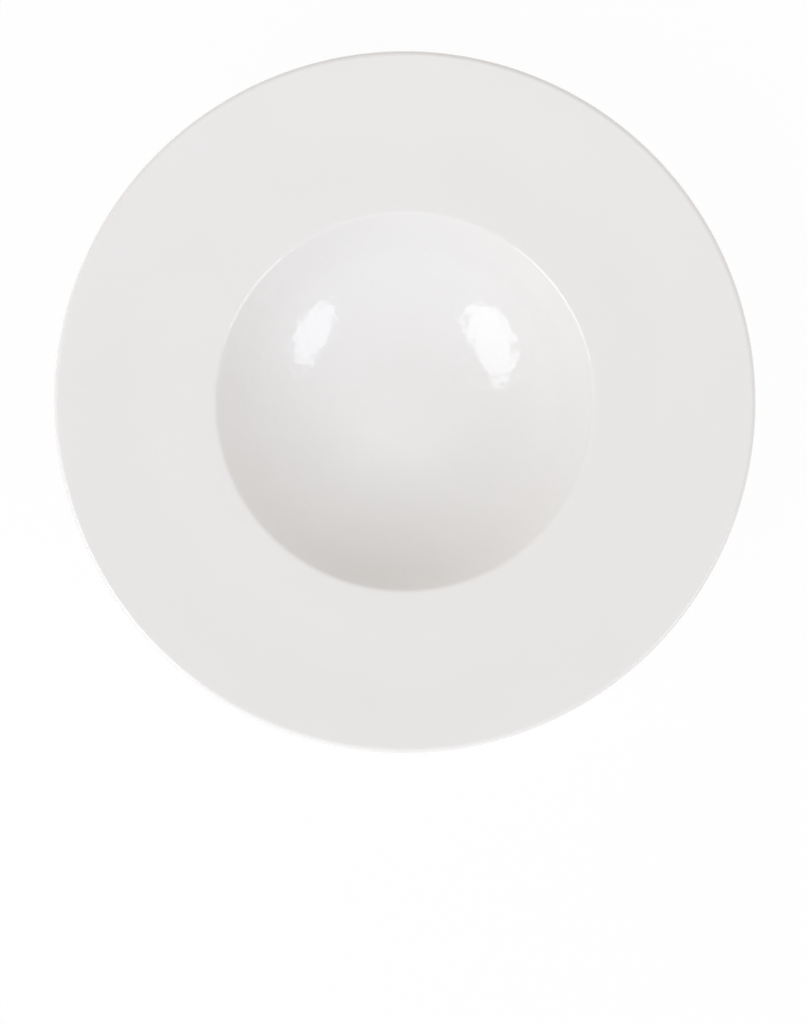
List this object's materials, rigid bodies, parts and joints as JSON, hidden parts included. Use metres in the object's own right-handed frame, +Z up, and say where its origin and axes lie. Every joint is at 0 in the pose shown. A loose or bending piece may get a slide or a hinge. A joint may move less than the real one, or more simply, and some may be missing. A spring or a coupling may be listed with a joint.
{
  "type": "risotto plate",
  "caption": "Round white glazed porcelain plate with a broad rising rim, a deep rounded well for risotto or pasta, and a conical underside on a small bare foot ring.",
  "frame": {"origin": "centre of the foot ring, on the surface that the plate stands on", "axes": "+Z up along the plate's axis, out of the well; X and Y lie in that surface, and either can face the diner, because the plate is round"},
  "size_m": [0.2698, 0.2698, 0.0542],
  "materials": {
    "bare_porcelain": "bare fired porcelain, fine matt grain, ground smooth where it stands",
    "gloss_glaze": "clear gloss glaze over white porcelain, faintly uneven",
    "recess_glaze": "clear glaze inside the foot ring, a little duller and less even"
  },
  "bodies": {
    "root": {"porcelain_body": "bare_porcelain", "glaze_coat": "gloss_glaze", "foot_recess_glaze": "recess_glaze"}
  },
  "joints": []
}
